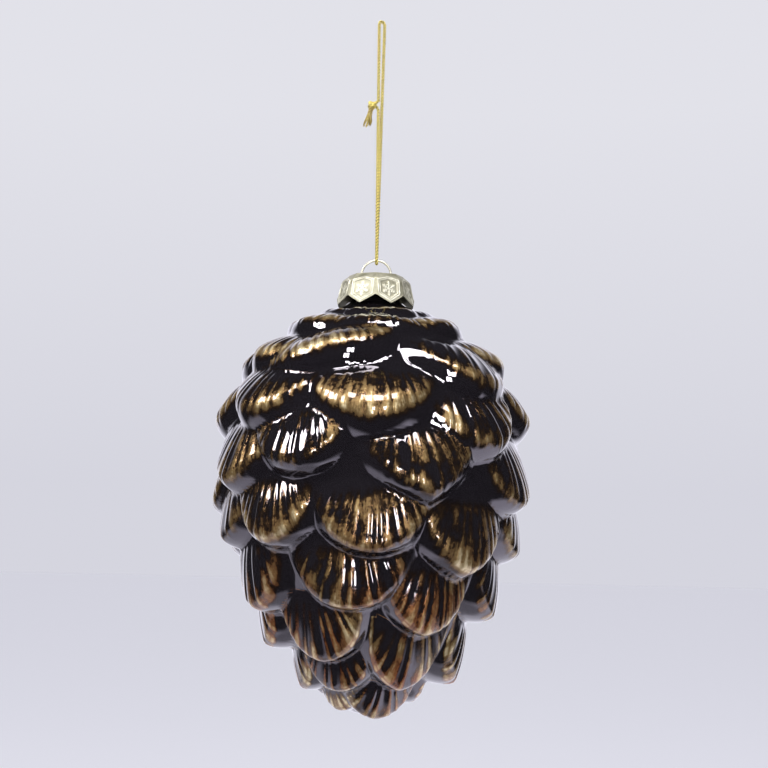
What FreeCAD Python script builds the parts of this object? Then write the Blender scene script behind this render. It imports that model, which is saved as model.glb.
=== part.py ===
import FreeCAD, Part
import math
import os

# Blown-glass pine cone ornament, millimetres, +Z up.
# The origin is at the inside top of the cord loop, where the loop bears on whatever it hangs from.
# The cone's axis is the Z axis and its best face looks along -Y. Everything else hangs below the origin.
#
#   glass_body   hollow blown glass with its scales and open neck
#   cap          stamped sheet crown cap: disc, shoulder, octagonal skirt cut into eight pointed petals
#   hanger_wire  sprung wire: half-round arch, two legs through the disc that spread inside the neck
#   hang_cord    metallic cord, one run through the arch and over the top of the loop
#   cord_knot    the knot that closes the loop, beside the front strand
#   cord_tails   the two cut ends below the knot

doc = FreeCAD.newDocument("PineConeOrnament")
V = FreeCAD.Vector

# ---------------------------------------------------------------- driving dimensions
sheet = doc.addObject("Spreadsheet::Sheet", "Dimensions")
DIMS = [
    # glass
    ("glass_wall", 1.0),          # blown wall
    ("neck_radius", 7.0),         # outside of the neck
    ("neck_top", -78.9),          # rim of the neck, under the cap's disc
    ("lip_power", 1.55),          # how blunt a lip is
    ("face_power", 1.5),          # how a scale's face sinks towards its root
    ("face_crown", 0.55),         # how much a face falls to its sides
    ("valley_blend", 0.8),        # fillet in the creases
    # cap
    ("cap_top", -78.5),           # top of the disc
    ("cap_sheet", 0.4),           # sheet thickness
    ("cap_disc_corner", 8.0),     # octagon corner radius at the disc's edge
    ("cap_shoulder_corner", 10.4),
    ("cap_shoulder_drop", 1.8),
    ("cap_notch_corner", 11.7),
    ("cap_notch_drop", 6.9),
    ("cap_tip_corner", 13.2),
    ("cap_tip_drop", 9.55),
    ("cap_side_gap", 0.44),       # sheet thickness measured along a corner radius
    ("cap_hole_radius", 0.45),
    # wire
    ("wire_radius", 0.375),
    ("arch_radius", 4.425),       # to the middle of the wire
    ("arch_centre", -78.07),
    ("leg_bend", 2.9),            # straight leg below the arch
    ("leg_slope_drop", 3.4),
    ("leg_spread", 1.1),
    ("leg_end", 3.6),
    # cord
    ("cord_radius", 0.525),
    ("bight_half", 1.18),         # half the gap between the strands at the top
    ("bight_arc", 1.165),
    ("bight_turn", 45.0),         # the top of the loop is turned this far from the X axis
    ("eye_half", 0.94),           # half the gap between the strands at the wire
    ("eye_arc", 0.92),
    ("knot_top", -24.5),
    ("knot_bottom", -27.5),
    ("knot_offset", 1.65),        # knot body's middle from the strand's line
    ("knot_ball", 1.3),
    ("knot_turn", 1.15),          # the turn of cord round the knot, to the middle of the cord
    ("knot_turn_half", 0.6),
    ("collar_radius", 0.62),
    ("tail_root", 0.55),
    ("tail_end", 0.95),
    ("tail_long", 7.3),
    ("tail_short", 6.2),
]
for row, (alias, value) in enumerate(DIMS, start=1):
    sheet.set("A%d" % row, alias)
    sheet.set("B%d" % row, "%.6g" % value)
    sheet.setAlias("B%d" % row, alias)

# The cone's core, seen as half a section: radius and height from the neck's rim down to the bottom.
CORE = [(7.0, -78.9), (7.0, -82.0), (7.0, -85.0), (7.8, -86.8), (9.6, -88.0), (12.4, -89.0), (16.2, -90.9),
        (21.4, -94.2), (27.2, -99.4), (32.2, -104.6), (35.8, -109.8), (38.6, -115.0), (40.4, -121.0),
        (41.4, -128.0), (41.5, -136.0), (40.9, -144.0), (39.3, -152.0), (37.0, -160.0), (34.0, -168.0),
        (30.2, -176.0), (25.6, -184.0), (20.8, -191.5), (15.8, -198.0), (11.2, -203.0), (7.0, -206.6),
        (3.4, -208.3), (0.0, -208.8)]
core_sheet = doc.addObject("Spreadsheet::Sheet", "CoreProfile")
for row, (radius, height) in enumerate(CORE, start=1):
    core_sheet.set("A%d" % row, "%.6g" % radius)
    core_sheet.setAlias("A%d" % row, "core_radius_%d" % row)
    core_sheet.set("B%d" % row, "%.6g" % height)
    core_sheet.setAlias("B%d" % row, "core_height_%d" % row)

# Every scale: azimuth of its middle (0 is -Y, positive towards +X), height of its lip's lowest point,
# half width, rise of the lip at its sides, length up to its root, height above the core, turn in its own plane,
# depth of the lip from the crease under it to its ridge, and how pointed the lip is (1 is a straight V).
SCALES = [
    (22, -93.2, 8.0, 1.0, 8.0, 1.9, 0, 3.5, 1.6),
    (-14, -92.6, 6.5, 0.8, 6.0, 1.3, 0, 3.0, 1.6),
    (-50, -92.8, 7.0, 0.8, 6.5, 1.4, 0, 3.0, 1.5),
    (64, -92.8, 7.0, 0.8, 6.5, 1.4, 0, 3.0, 1.6),
    (104, -92.5, 6.5, 0.8, 6.0, 1.3, 0, 3.0, 1.5),
    (142, -93.0, 7.0, 0.8, 6.5, 1.5, 0, 3.0, 1.6),
    (180, -92.6, 6.5, 0.8, 6.0, 1.3, 0, 3.0, 1.5),
    (-142, -93.0, 7.0, 0.8, 6.5, 1.5, 0, 3.0, 1.6),
    (-98, -92.6, 7.0, 0.8, 6.0, 1.3, 0, 3.0, 1.5),
    (4, -100.0, 18.5, 3.0, 12.0, 4.4, -3, 6.0, 2.0),
    (-50, -99.4, 14.0, 3.5, 12.0, 4.4, 0, 5.0, 1.6),
    (56, -99.8, 14.0, 3.5, 12.0, 4.4, 0, 5.0, 1.9),
    (98, -97.8, 14.0, 3.5, 12.0, 4.4, 0, 5.0, 1.4),
    (146, -99.0, 14.0, 3.5, 12.0, 4.4, 0, 5.0, 1.5),
    (-152, -98.0, 14.5, 3.5, 12.0, 4.4, 0, 5.0, 1.8),
    (-100, -98.8, 14.0, 3.5, 12.0, 4.4, 0, 5.0, 1.6),
    (-20, -111.4, 21.5, 5.0, 19.0, 7.4, 17, 8.0, 1.9),
    (43, -120.5, 18.5, 8.0, 25.0, 7.8, -12, 7.0, 1.5),
    (76, -113.5, 15.5, 7.0, 20.0, 7.2, 0, 8.5, 1.5),
    (-62, -112.5, 16.0, 6.5, 19.0, 7.0, -4, 8.5, 1.8),
    (110, -114.5, 17.0, 7.0, 21.0, 7.2, 0, 8.5, 1.6),
    (150, -112.0, 16.5, 7.0, 19.0, 7.0, 5, 8.5, 1.9),
    (-166, -114.5, 17.0, 7.0, 21.0, 7.2, -4, 8.5, 1.4),
    (-130, -111.5, 16.5, 7.0, 19.0, 7.0, 6, 8.5, 1.5),
    (-97, -115.0, 16.0, 7.0, 21.0, 7.0, 0, 8.5, 1.8),
    (0, -130.6, 20.0, 8.5, 23.0, 8.6, 0, 10.5, 1.7),
    (-50, -129.0, 18.0, 8.0, 23.0, 8.2, -6, 9.0, 1.9),
    (50, -136.0, 18.0, 9.0, 24.0, 8.4, 10, 8.5, 1.6),
    (-92, -131.0, 16.5, 8.0, 22.0, 8.0, 0, 8.0, 1.5),
    (90, -130.0, 16.5, 8.0, 22.0, 8.0, 0, 8.0, 1.8),
    (130, -128.5, 18.0, 8.0, 22.0, 8.0, 5, 8.0, 1.6),
    (172, -130.5, 18.0, 8.0, 22.0, 8.2, -5, 8.0, 1.9),
    (-137, -127.5, 18.0, 8.0, 22.0, 8.0, 4, 8.0, 1.4),
    (-27, -141.0, 16.5, 8.5, 22.0, 8.4, 3, 7.0, 1.9),
    (22, -147.8, 18.0, 10.5, 24.0, 8.6, 6, 7.0, 1.3),
    (-61, -146.0, 16.5, 8.5, 23.0, 8.4, -4, 7.0, 1.6),
    (68, -150.5, 16.0, 8.5, 24.0, 8.8, 6, 7.0, 1.9),
    (110, -146.5, 17.5, 8.5, 23.0, 8.4, -4, 7.0, 1.4),
    (152, -149.0, 18.0, 8.5, 24.0, 8.4, 4, 7.0, 1.5),
    (-166, -146.0, 17.5, 8.5, 23.0, 8.4, 5, 7.0, 1.8),
    (-126, -148.0, 17.0, 8.5, 24.0, 8.4, -4, 7.0, 1.6),
    (-92, -153.5, 15.5, 8.5, 23.0, 8.4, 4, 7.0, 1.9),
    (1, -161.5, 17.5, 8.0, 22.5, 8.4, 0, 6.5, 1.9),
    (-39, -160.5, 16.0, 8.5, 23.0, 8.4, 3, 7.5, 1.9),
    (39, -167.5, 16.5, 8.5, 26.0, 8.8, -6, 7.0, 1.4),
    (-73, -161.5, 14.5, 8.0, 22.0, 8.0, 0, 7.0, 1.6),
    (84, -164.5, 16.0, 8.0, 23.0, 8.4, 4, 7.0, 1.9),
    (125, -162.0, 16.5, 8.0, 23.0, 8.2, -4, 7.0, 1.4),
    (168, -165.0, 16.5, 8.0, 24.0, 8.2, 4, 7.0, 1.5),
    (-149, -162.0, 16.0, 8.0, 23.0, 8.2, 5, 7.0, 1.8),
    (-110, -166.5, 15.5, 8.0, 23.0, 8.2, -4, 7.0, 1.6),
    (-8, -175.6, 17.5, 8.5, 21.5, 7.8, 0, 5.5, 2.2),
    (-60, -178.5, 15.0, 8.0, 25.0, 7.8, 3, 6.5, 1.7),
    (29, -182.8, 14.0, 8.0, 24.0, 7.6, -3, 6.0, 1.7),
    (76, -180.5, 15.0, 8.0, 24.0, 9.0, -3, 6.5, 1.8),
    (120, -182.5, 14.0, 8.0, 24.0, 7.8, 4, 6.5, 1.6),
    (162, -179.5, 14.5, 8.0, 24.0, 7.8, -4, 6.5, 1.9),
    (-154, -182.5, 14.0, 8.0, 24.0, 7.8, 3, 6.5, 1.4),
    (-110, -181.5, 14.0, 8.0, 23.0, 8.0, 5, 6.5, 1.5),
    (-23, -190.6, 14.0, 8.0, 23.0, 7.2, 7, 5.5, 1.8),
    (25, -198.6, 13.0, 8.5, 24.0, 7.0, -4, 6.0, 1.5),
    (-80, -189.5, 13.0, 7.0, 21.0, 7.6, 3, 6.0, 1.9),
    (82, -198.0, 13.0, 7.0, 24.0, 9.2, -3, 6.0, 1.4),
    (132, -192.5, 13.5, 7.0, 21.0, 7.2, 3, 6.0, 1.5),
    (-176, -196.5, 12.5, 7.0, 21.0, 6.8, -3, 6.0, 1.8),
    (-130, -193.5, 12.5, 7.0, 21.0, 7.0, 4, 6.0, 1.6),
    (-24, -199.8, 11.0, 4.5, 14.0, 5.2, 2, 5.0, 1.9),
    (18, -207.4, 11.0, 4.0, 15.0, 4.2, 0, 3.6, 1.4),
    (-76, -201.0, 10.5, 4.5, 15.0, 5.8, 0, 5.0, 1.5),
    (-128, -204.0, 9.5, 4.5, 14.0, 4.8, 0, 3.6, 1.8),
    (112, -205.0, 10.5, 4.5, 14.0, 4.8, 0, 3.6, 1.6),
    (168, -204.0, 9.5, 4.5, 14.0, 4.6, 0, 3.6, 1.9),
    (-46, -206.4, 7.5, 2.0, 9.0, 3.2, 0, 3.2, 1.4),
    (170, -208.3, 6.0, 1.0, 9.0, 2.4, 0, 3.0, 1.5),
]
SCALE_WORDS = ["azimuth", "lip_height", "half_width", "lip_rise", "long", "tall", "turned", "lip_round", "lip_point"]
scale_sheet = doc.addObject("Spreadsheet::Sheet", "ScaleTable")
for row, values in enumerate(SCALES, start=1):
    for column, (word, value) in enumerate(zip(SCALE_WORDS, values)):
        cell = "%s%d" % ("ABCDEFGHI"[column], row)
        scale_sheet.set(cell, "%.6g" % value)
        scale_sheet.setAlias(cell, "scale_%d_%s" % (row, word))
doc.recompute()


def dim(alias):
    return float(sheet.get(alias))


# ---------------------------------------------------------------- the glass
core = [(float(core_sheet.get("core_radius_%d" % n)), float(core_sheet.get("core_height_%d" % n)))
        for n in range(1, len(CORE) + 1)]
scales = [tuple(float(scale_sheet.get("scale_%d_%s" % (n, word))) for word in SCALE_WORDS)
          for n in range(1, len(SCALES) + 1)]


def spline_point(a, b, c, d, t):
    return tuple(0.5 * (2 * q + (r - p) * t + (2 * p - 5 * q + 4 * r - w) * t * t + (3 * q - p - 3 * r + w) * t ** 3)
                 for p, q, r, w in zip(a, b, c, d))


def core_line(points, step=0.5):
    """The core's half section as points at equal steps of length, and that step."""
    ends = [(points[0][0], points[0][1] + 3.0)] + points + [(-points[-2][0], points[-2][1])]
    fine = [spline_point(ends[i - 1], ends[i], ends[i + 1], ends[i + 2], k / 12.0)
            for i in range(1, len(ends) - 2) for k in range(12)] + [points[-1]]
    run = [0.0]
    for a, b in zip(fine, fine[1:]):
        run.append(run[-1] + math.hypot(a[0] - b[0], a[1] - b[1]))
    count = int(round(run[-1] / step))
    out, j = [], 0
    for i in range(count + 1):
        s = run[-1] * i / count
        while j < len(run) - 2 and run[j + 1] < s:
            j += 1
        t = (s - run[j]) / (run[j + 1] - run[j])
        a, b = fine[j], fine[j + 1]
        out.append((a[0] + (b[0] - a[0]) * t, a[1] + (b[1] - a[1]) * t))
    return out, run[-1] / count


LINE, LINE_STEP = core_line(core)
LENGTH = LINE_STEP * (len(LINE) - 1)


def core_at(s):
    f = min(max(s / LINE_STEP, 0.0), len(LINE) - 1.000001)
    i = int(f)
    t = f - i
    a, b = LINE[i], LINE[i + 1]
    return a[0] + (b[0] - a[0]) * t, a[1] + (b[1] - a[1]) * t


def core_down(s):
    """Unit direction down the half section (radial part, vertical part)."""
    a, b = core_at(max(0.0, s - 0.8)), core_at(min(LENGTH, s + 0.8))
    run = math.hypot(b[0] - a[0], b[1] - a[1])
    return (b[0] - a[0]) / run, (b[1] - a[1]) / run


def run_at_height(z):
    low, high = 0.0, LENGTH
    for _ in range(40):
        mid = 0.5 * (low + high)
        if core_at(mid)[1] > z:
            low = mid
        else:
            high = mid
    return low


LIP_POWER, FACE_POWER = dim("lip_power"), dim("face_power")
CROWN, BLEND, WALL = dim("face_crown"), dim("valley_blend"), dim("glass_wall")
ready = []
for azimuth, lip, wide, rise, long_, tall, turned, round_, point in scales:
    s_lip = run_at_height(lip)
    ready.append((math.radians(azimuth), s_lip, core_down(s_lip)[0], wide, rise, long_, tall,
                  math.cos(math.radians(turned)), math.sin(math.radians(turned)), round_, point))


def relief(theta, s):
    """Height of the scales above the core, at azimuth theta and distance s down the half section."""
    radius = core_at(s)[0]
    best = 0.0
    for az, s_lip, lean, wide, rise, long_, tall, cos_t, sin_t, round_, point in ready:
        d = theta - az
        cos_d = math.cos(d)
        if cos_d <= 0.0:
            continue
        a0 = radius * math.sin(d)
        b0 = (s_lip - s) + radius * (1.0 - cos_d) * lean
        if b0 < -9.0 or b0 > long_ + 9.0 or abs(a0) > 1.9 * wide:
            continue
        a, b = a0 * cos_t + b0 * sin_t, b0 * cos_t - a0 * sin_t
        u = abs(a) / wide
        if u >= 1.4 or b >= long_:
            continue
        edge = rise * u ** point + 4.0 * u ** 6
        slope = (point * rise * u ** (point - 1.0) + 24.0 * u ** 5) / wide
        inside = (b - edge) / math.sqrt(1.0 + slope * slope)
        if inside <= 0.0:
            continue
        lip_part = 1.0 - max(0.0, 1.0 - inside / round_) ** LIP_POWER
        face_part = 1.0 - max(0.0, b / long_) ** FACE_POWER
        height = tall * lip_part * face_part * (1.0 - CROWN * u * u)
        if height <= 0.0:
            continue
        gap = abs(height - best)
        small = min(height, best)
        best = max(height, best)
        if gap < BLEND:
            best += (BLEND - gap) ** 2 / (4.0 * BLEND) * min(1.0, small / BLEND)
    return best


def fade(s):
    """1 over the cone, 0 on the neck and at the very bottom, so that both ends are true circles."""
    return max(0.0, min(1.0, (s - 11.0) / 3.0)) * max(0.0, min(1.0, (LENGTH - 2.2 - s) / 2.5))


def place(theta, s, height):
    radius, z = core_at(s)
    down_r, down_z = core_down(s)
    return V((radius - height * down_z) * math.sin(theta), -(radius - height * down_z) * math.cos(theta),
             z + height * down_r)


END = LENGTH - 1.6
RING = ((0.9, 0), (-0.9, 0), (0, 0.9), (0, -0.9), (0.65, 0.65), (0.65, -0.65), (-0.65, 0.65), (-0.65, -0.65))


def pole_net(around, down, inner):
    """Rows of poles, from the rim down. The inner skin follows the outer one at the wall's thickness."""
    spans = down - 3
    stations = [END * sum(min(max(j + k - 3, 0), spans) for k in (1, 2, 3)) / (3.0 * spans) for j in range(down)]
    rows = []
    for s in stations:
        row = []
        radius = max(core_at(s)[0], 2.0)
        for i in range(around):
            theta = 2 * math.pi * i / around
            height = relief(theta, s) * fade(s)
            if inner:
                height = min([height] + [relief(theta + da / radius, s + ds) * fade(s + ds) for ds, da in RING])
                height -= WALL
            row.append(height)
        rows.append(row)
    # the poles stand a little further out than the samples, so that the skin passes close to them
    sharp = []
    for j, row in enumerate(rows):
        if not 2 < j < down - 4:
            sharp.append(row)
            continue
        out = []
        for i in range(around):
            round_mean = (row[i - 1] + 4 * row[i] + row[(i + 1) % around]) / 6.0
            down_mean = (rows[j - 1][i] + 4 * row[i] + rows[j + 1][i]) / 6.0
            out.append(row[i] + 0.8 * (row[i] - 0.5 * (round_mean + down_mean)))
        sharp.append(out)
    net = [[place(2 * math.pi * i / around, s, row[i]) for i in range(around)] for s, row in zip(stations, sharp)]
    level = sum(p.z for p in net[-1]) / around
    for j in (-1, -2):
        net[j] = [V(p.x, p.y, level) for p in net[j]]
    return net


def skin(net, columns, bands):
    """The smooth closed tube through a net of poles, as patches that share their edges."""
    around, down = len(net[0]), len(net)
    poles = [[net[j][i] for j in range(down)] for i in range(around)]
    faces = []
    for c in range(columns):
        for r in range(bands):
            surface = Part.BSplineSurface()
            surface.buildFromPolesMultsKnots(poles, [1] * (around + 1), [4] + [1] * (down - 4) + [4],
                                             list(range(around + 1)), list(range(down - 2)), True, False, 3, 3)
            surface.segment(round(around * c / columns), round(around * (c + 1) / columns),
                            round((down - 3) * r / bands), round((down - 3) * (r + 1) / bands))
            faces.append(surface.toShape())
    shell = Part.Shell(faces)
    shell.sewShape()
    return shell


def open_ring(shell, z):
    """The closed wire at one open end of a skin."""
    edges = [e for e in shell.Edges if abs(e.BoundBox.ZMin - z) < 1e-4 and abs(e.BoundBox.ZMax - z) < 1e-4]
    return Part.Wire(Part.__sortEdges__(edges))


outer_net, inner_net = pole_net(96, 78, False), pole_net(72, 58, True)
outer_skin, inner_skin = skin(outer_net, 12, 6), skin(inner_net, 9, 5)
rim = Part.makeFace([open_ring(outer_skin, outer_net[0][0].z), open_ring(inner_skin, inner_net[0][0].z)],
                    "Part::FaceMakerBullseye")
outer_bottom = Part.Face(open_ring(outer_skin, outer_net[-1][0].z))
inner_bottom = Part.Face(open_ring(inner_skin, inner_net[-1][0].z))
shell = Part.Shell(outer_skin.Faces + [f.reversed() for f in inner_skin.Faces] + rim.Faces +
                   [outer_bottom, inner_bottom])
shell.sewShape()
glass_shape = Part.Solid(shell)
if not glass_shape.isValid():
    glass_shape.fix(1e-5, 1e-5, 1e-3)
if glass_shape.Volume < 0:
    glass_shape.reverse()
glass = doc.addObject("Part::Feature", "GlassBody")
glass.Label = "glass_body"
glass.Shape = glass_shape
glass.Placement = FreeCAD.Placement()

# ---------------------------------------------------------------- the crown cap
# Four octagons down the skirt, with corners at azimuth 0, 45, 90 and so on, lofted into a thin shell.
LEVELS = [("cap_disc_corner", None), ("cap_shoulder_corner", "cap_shoulder_drop"),
          ("cap_notch_corner", "cap_notch_drop"), ("cap_tip_corner", "cap_tip_drop")]


def octagon(name, radius_rule, height_rule):
    ring = doc.addObject("Part::RegularPolygon", name)
    ring.Polygon = 8
    ring.setExpression("Circumradius", radius_rule)
    ring.setExpression("Placement.Base.z", height_rule)
    return ring


def loft(name, sections):
    body = doc.addObject("Part::Loft", name)
    body.Sections = sections
    body.Solid = True
    body.Ruled = True
    return body


outside, inside = [], []
for n, (corner, drop) in enumerate(LEVELS):
    below = "" if drop is None else " - Dimensions.%s" % drop
    outside.append(octagon("OutsideOctagon%d" % n, "Dimensions.%s" % corner, "Dimensions.cap_top" + below))
    if drop is None:
        inside.append(octagon("InsideOctagon%d" % n, "Dimensions.%s - Dimensions.cap_side_gap * 0.5" % corner,
                              "Dimensions.cap_top - Dimensions.cap_sheet"))
    elif n < 3:
        inside.append(octagon("InsideOctagon%d" % n, "Dimensions.%s - Dimensions.cap_side_gap" % corner,
                              "Dimensions.cap_top - Dimensions.cap_sheet * 0.5" + below))
    else:
        inside.append(octagon("InsideOctagon%d" % n, "Dimensions.%s - Dimensions.cap_side_gap * 0.8" % corner,
                              "Dimensions.cap_top - 0.5" + below))
cap_outside = loft("CapOutside", outside)
cap_inside = loft("CapInside", inside)
cap_shell = doc.addObject("Part::Cut", "CapShell")
cap_shell.Base, cap_shell.Tool = cap_outside, cap_inside

# A V-shaped notch at each corner leaves eight pointed petals. Its lower edge reaches tip to tip.
notches = []
for n in range(8):
    notch = doc.addObject("Part::Wedge", "PetalNotch%d" % n)
    reach = "(Dimensions.cap_tip_corner * 0.3536 + 0.6)"
    notch.setExpression("Xmin", "-%s" % reach)
    notch.setExpression("Xmax", reach)
    notch.setExpression("Ymin", "Dimensions.cap_top - Dimensions.cap_tip_drop - "
                                "(Dimensions.cap_tip_drop - Dimensions.cap_notch_drop) * 0.6 / "
                                "(Dimensions.cap_tip_corner * 0.3536)")
    notch.setExpression("Ymax", "Dimensions.cap_top - Dimensions.cap_notch_drop")
    notch.setExpression("Zmin", "Dimensions.cap_disc_corner - 2.5")
    notch.setExpression("Zmax", "Dimensions.cap_tip_corner + 1.5")
    notch.X2min, notch.X2max = 0.0, 0.0
    notch.setExpression("Z2min", "Dimensions.cap_disc_corner - 2.5")
    notch.setExpression("Z2max", "Dimensions.cap_tip_corner + 1.5")
    notch.Placement = FreeCAD.Placement(V(0, 0, 0), FreeCAD.Rotation(V(0, 0, 1), 45.0 * n).multiply(
        FreeCAD.Rotation(V(1, 0, 0), 90)))
    notches.append(notch)
holes = []
for side in (-1, 1):
    hole = doc.addObject("Part::Cylinder", "LegHole%s" % ("Left" if side < 0 else "Right"))
    hole.setExpression("Radius", "Dimensions.cap_hole_radius")
    hole.Height = 4.0
    hole.setExpression("Placement.Base.x", "%d * Dimensions.arch_radius" % side)
    hole.setExpression("Placement.Base.z", "Dimensions.cap_top - 2")
    holes.append(hole)
cap_tools = doc.addObject("Part::MultiFuse", "CapCutters")
cap_tools.Shapes = notches + holes
cap = doc.addObject("Part::Cut", "Cap")
cap.Base, cap.Tool = cap_shell, cap_tools
cap.Label = "cap"

# ---------------------------------------------------------------- the wire loop
# Half a torus for the arch, then on each side a straight leg, a sloping run and a short straight end.
arch = doc.addObject("Part::Torus", "Arch")
arch.setExpression("Radius1", "Dimensions.arch_radius")
arch.setExpression("Radius2", "Dimensions.wire_radius")
arch.Angle3 = 180.0
arch.Placement = FreeCAD.Placement(V(0, 0, 0), FreeCAD.Rotation(V(1, 0, 0), 90))
arch.setExpression("Placement.Base.z", "Dimensions.arch_centre")
wire_pieces = [arch]
slope = math.degrees(math.atan2(dim("leg_spread"), dim("leg_slope_drop")))
for side in (-1, 1):
    word = "Left" if side < 0 else "Right"
    leg = doc.addObject("Part::Cylinder", "Leg%s" % word)
    leg.setExpression("Radius", "Dimensions.wire_radius")
    leg.setExpression("Height", "Dimensions.leg_bend")
    leg.setExpression("Placement.Base.x", "%d * Dimensions.arch_radius" % side)
    leg.setExpression("Placement.Base.z", "Dimensions.arch_centre - Dimensions.leg_bend")
    knee = doc.addObject("Part::Sphere", "Knee%s" % word)
    knee.setExpression("Radius", "Dimensions.wire_radius")
    knee.setExpression("Placement.Base.x", "%d * Dimensions.arch_radius" % side)
    knee.setExpression("Placement.Base.z", "Dimensions.arch_centre - Dimensions.leg_bend")
    run = doc.addObject("Part::Cylinder", "Slope%s" % word)
    run.setExpression("Radius", "Dimensions.wire_radius")
    run.setExpression("Height", "sqrt(Dimensions.leg_spread ^ 2 + Dimensions.leg_slope_drop ^ 2)")
    run.Placement = FreeCAD.Placement(V(0, 0, 0), FreeCAD.Rotation(V(0, 1, 0), -side * slope))
    run.setExpression("Placement.Base.x", "%d * (Dimensions.arch_radius + Dimensions.leg_spread)" % side)
    run.setExpression("Placement.Base.z", "Dimensions.arch_centre - Dimensions.leg_bend - Dimensions.leg_slope_drop")
    ankle = doc.addObject("Part::Sphere", "Ankle%s" % word)
    ankle.setExpression("Radius", "Dimensions.wire_radius")
    ankle.setExpression("Placement.Base.x", "%d * (Dimensions.arch_radius + Dimensions.leg_spread)" % side)
    ankle.setExpression("Placement.Base.z",
                        "Dimensions.arch_centre - Dimensions.leg_bend - Dimensions.leg_slope_drop")
    foot = doc.addObject("Part::Cylinder", "Foot%s" % word)
    foot.setExpression("Radius", "Dimensions.wire_radius")
    foot.setExpression("Height", "Dimensions.leg_end")
    foot.setExpression("Placement.Base.x", "%d * (Dimensions.arch_radius + Dimensions.leg_spread)" % side)
    foot.setExpression("Placement.Base.z", "Dimensions.arch_centre - Dimensions.leg_bend - "
                                           "Dimensions.leg_slope_drop - Dimensions.leg_end")
    wire_pieces += [leg, knee, run, ankle, foot]
wire = doc.addObject("Part::MultiFuse", "HangerWire")
wire.Shapes = wire_pieces
wire.Refine = True
wire.Label = "hanger_wire"

# ---------------------------------------------------------------- the cord
# Straight runs joined by tangent arcs: from the knot up the front strand, over the top, down the back
# strand, round the wire and up to the knot again. It is pulled straight by the weight of the glass.
turn = math.radians(dim("bight_turn"))
half, eye = dim("bight_half"), dim("eye_half")
top_z = dim("cord_radius")
eye_z = dim("arch_centre") + dim("arch_radius") - eye
front_top = V(-half * math.cos(turn), -half * math.sin(turn), top_z)
back_top = V(half * math.cos(turn), half * math.sin(turn), top_z)
back_eye = V(0, eye, eye_z)
front_eye = V(0, -eye, eye_z)


def on_front(z):
    t = (z - front_eye.z) / (front_top.z - front_eye.z)
    return front_eye + (front_top - front_eye) * t


knot_high, knot_low = on_front(dim("knot_top")), on_front(dim("knot_bottom"))
route = [knot_high, front_top, back_top, back_eye, front_eye, knot_low]
arcs = [None, dim("bight_arc"), dim("bight_arc"), dim("eye_arc"), dim("eye_arc"), None]
edges, at = [], route[0]
for i in range(1, len(route) - 1):
    before = (route[i - 1] - route[i]).normalize()
    after = (route[i + 1] - route[i]).normalize()
    bend = math.pi - before.getAngle(after)
    reach = arcs[i] * math.tan(bend / 2)
    start, finish = route[i] + before * reach, route[i] + after * reach
    centre = route[i] + (before + after).normalize() * (arcs[i] / math.cos(bend / 2))
    middle = centre + (route[i] - centre).normalize() * arcs[i]
    if at.distanceToPoint(start) > 1e-4:
        edges.append(Part.LineSegment(at, start).toShape())
    edges.append(Part.Arc(start, middle, finish).toShape())
    print("cord bend %d: turn %.1f deg, radius %.3f mm" % (i, math.degrees(bend), arcs[i]))
    at = finish
edges.append(Part.LineSegment(at, route[-1]).toShape())
path = Part.Wire(edges)
section = Part.Wire(Part.Circle(route[0], route[1] - route[0], dim("cord_radius")).toShape())
tube = path.makePipeShell([section], True, False)
print("cord centreline %.2f mm, volume %.3f, section x length %.3f" % (
    path.Length, tube.Volume, math.pi * dim("cord_radius") ** 2 * path.Length))
cord = doc.addObject("Part::Feature", "HangCord")
cord.Label = "hang_cord"
cord.Shape = tube
cord.Placement = FreeCAD.Placement()

# The knot: a ball with one turn of cord round it, beside the strand, and a short collar in the strand's own line whose flat ends meet the cord.
along = (knot_high - knot_low).normalize()
collar = doc.addObject("Part::Cylinder", "KnotCollar")
collar.setExpression("Radius", "Dimensions.collar_radius")
collar.Height = (knot_high - knot_low).Length
collar.Placement = FreeCAD.Placement(knot_low, FreeCAD.Rotation(V(0, 0, 1), along))
knot_middle = (knot_high + knot_low) * 0.5
lump_middle = knot_middle + V(-dim("knot_offset"), -0.15, 0)
ball = doc.addObject("Part::Sphere", "KnotBall")
ball.setExpression("Radius", "Dimensions.knot_ball")
ball.Placement = FreeCAD.Placement(lump_middle, FreeCAD.Rotation())
turned_cord = doc.addObject("Part::Torus", "KnotTurn")
turned_cord.setExpression("Radius1", "Dimensions.knot_turn")
turned_cord.setExpression("Radius2", "Dimensions.knot_turn_half")
turned_cord.Placement = FreeCAD.Placement(lump_middle, FreeCAD.Rotation(V(1, 0, 0.35), 70))
knot = doc.addObject("Part::MultiFuse", "CordKnot")
knot.Shapes = [ball, turned_cord, collar]
knot.Label = "cord_knot"

# The two cut ends hang from the knot's lower left side and spread a little.
tails = []
for name, rule, start, direction in (
        ("TailLong", "Dimensions.tail_long", V(-0.85, -0.35, -0.55), V(-1.9, -0.25, -7.0)),
        ("TailShort", "Dimensions.tail_short", V(-0.35, 0.25, -0.75), V(-0.9, 0.55, -6.2))):
    tail = doc.addObject("Part::Cone", name)
    tail.setExpression("Radius1", "Dimensions.tail_root")
    tail.setExpression("Radius2", "Dimensions.tail_end")
    tail.setExpression("Height", rule)
    tail.Placement = FreeCAD.Placement(lump_middle + start, FreeCAD.Rotation(V(0, 0, 1), direction))
    tails.append(tail)
both = doc.addObject("Part::Fuse", "TailPair")
both.Base, both.Tool = tails
cut = doc.addObject("Part::Cut", "CordTails")
cut.Base, cut.Tool = both, knot
cut.Label = "cord_tails"

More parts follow.
